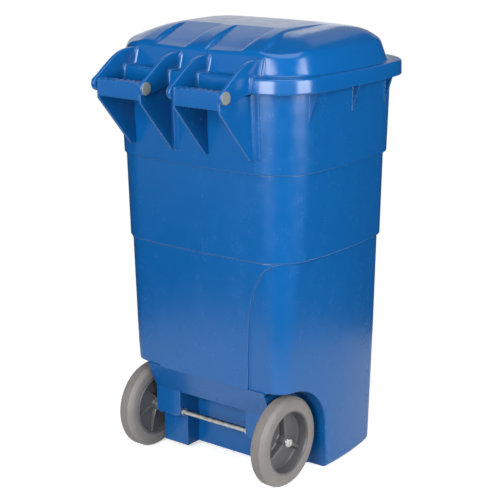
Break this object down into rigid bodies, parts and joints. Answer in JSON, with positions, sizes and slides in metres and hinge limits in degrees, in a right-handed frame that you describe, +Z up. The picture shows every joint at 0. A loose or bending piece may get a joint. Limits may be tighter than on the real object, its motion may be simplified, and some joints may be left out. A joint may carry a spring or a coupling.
{
  "type": "wheelie bin",
  "caption": "A two-wheeled plastic wheelie bin: a stepped tapering tub with moulded rear handles, a domed lid hinged on them, and ribbed grey tyres on a bare steel axle.",
  "frame": {"origin": "the middle of the footprint, on the floor", "axes": "+Z is up, the wheels and handles are at +Y, the front is at -Y, and the plane x = 0 divides the bin into two mirrored halves"},
  "size_m": [0.578, 0.588, 0.998],
  "materials": {
    "tub_plastic": "semi-gloss moulded polyethylene",
    "lid_plastic": "semi-gloss moulded polyethylene, finely scuffed on top",
    "tyre": "grey rubber, fine grooves round the tread",
    "hub_plastic": "black moulded polypropylene",
    "sleeve_plastic": "natural nylon",
    "pin_plastic": "grey moulded plastic",
    "zinc_steel": "bright zinc plate"
  },
  "bodies": {
    "bin": {"tub_base": "tub_plastic", "tub_middle": "tub_plastic", "tub_upper": "tub_plastic", "axle_housing": "tub_plastic", "axle": "zinc_steel", "handle_left": "tub_plastic", "inner_washer_left": "zinc_steel", "outer_washer_left": "zinc_steel", "axle_cap_left": "zinc_steel", "axle_collar_left": "zinc_steel", "hinge_pin_inner_left": "pin_plastic", "hinge_pin_outer_left": "pin_plastic", "handle_right": "tub_plastic", "inner_washer_right": "zinc_steel", "outer_washer_right": "zinc_steel", "axle_cap_right": "zinc_steel", "axle_collar_right": "zinc_steel", "hinge_pin_inner_right": "pin_plastic", "hinge_pin_outer_right": "pin_plastic"},
    "lid": {"lid": "lid_plastic", "lid_arm_inner_left": "lid_plastic", "lid_arm_inner_right": "lid_plastic", "lid_arm_outer_left": "lid_plastic", "lid_arm_outer_right": "lid_plastic"},
    "wheel_left": {"tyre_left": "tyre", "hub_left": "hub_plastic", "hub_sleeve_left": "sleeve_plastic"},
    "wheel_right": {"tyre_right": "tyre", "hub_right": "hub_plastic", "hub_sleeve_right": "sleeve_plastic"}
  },
  "joints": [
    {"name": "lid_hinge", "type": "hinge", "parent": "bin", "child": "lid", "pos_m": [0, 0.2785, 0.883], "axis": [-1, 0, 0], "range_deg": [0, 262]},
    {"name": "wheel_left_spin", "type": "hinge", "parent": "bin", "child": "wheel_left", "pos_m": [0.1905, 0.1065, 0.1016], "axis": [1, 0, 0], "continuous": true},
    {"name": "wheel_right_spin", "type": "hinge", "parent": "bin", "child": "wheel_right", "pos_m": [-0.1905, 0.1065, 0.1016], "axis": [1, 0, 0], "continuous": true}
  ]
}
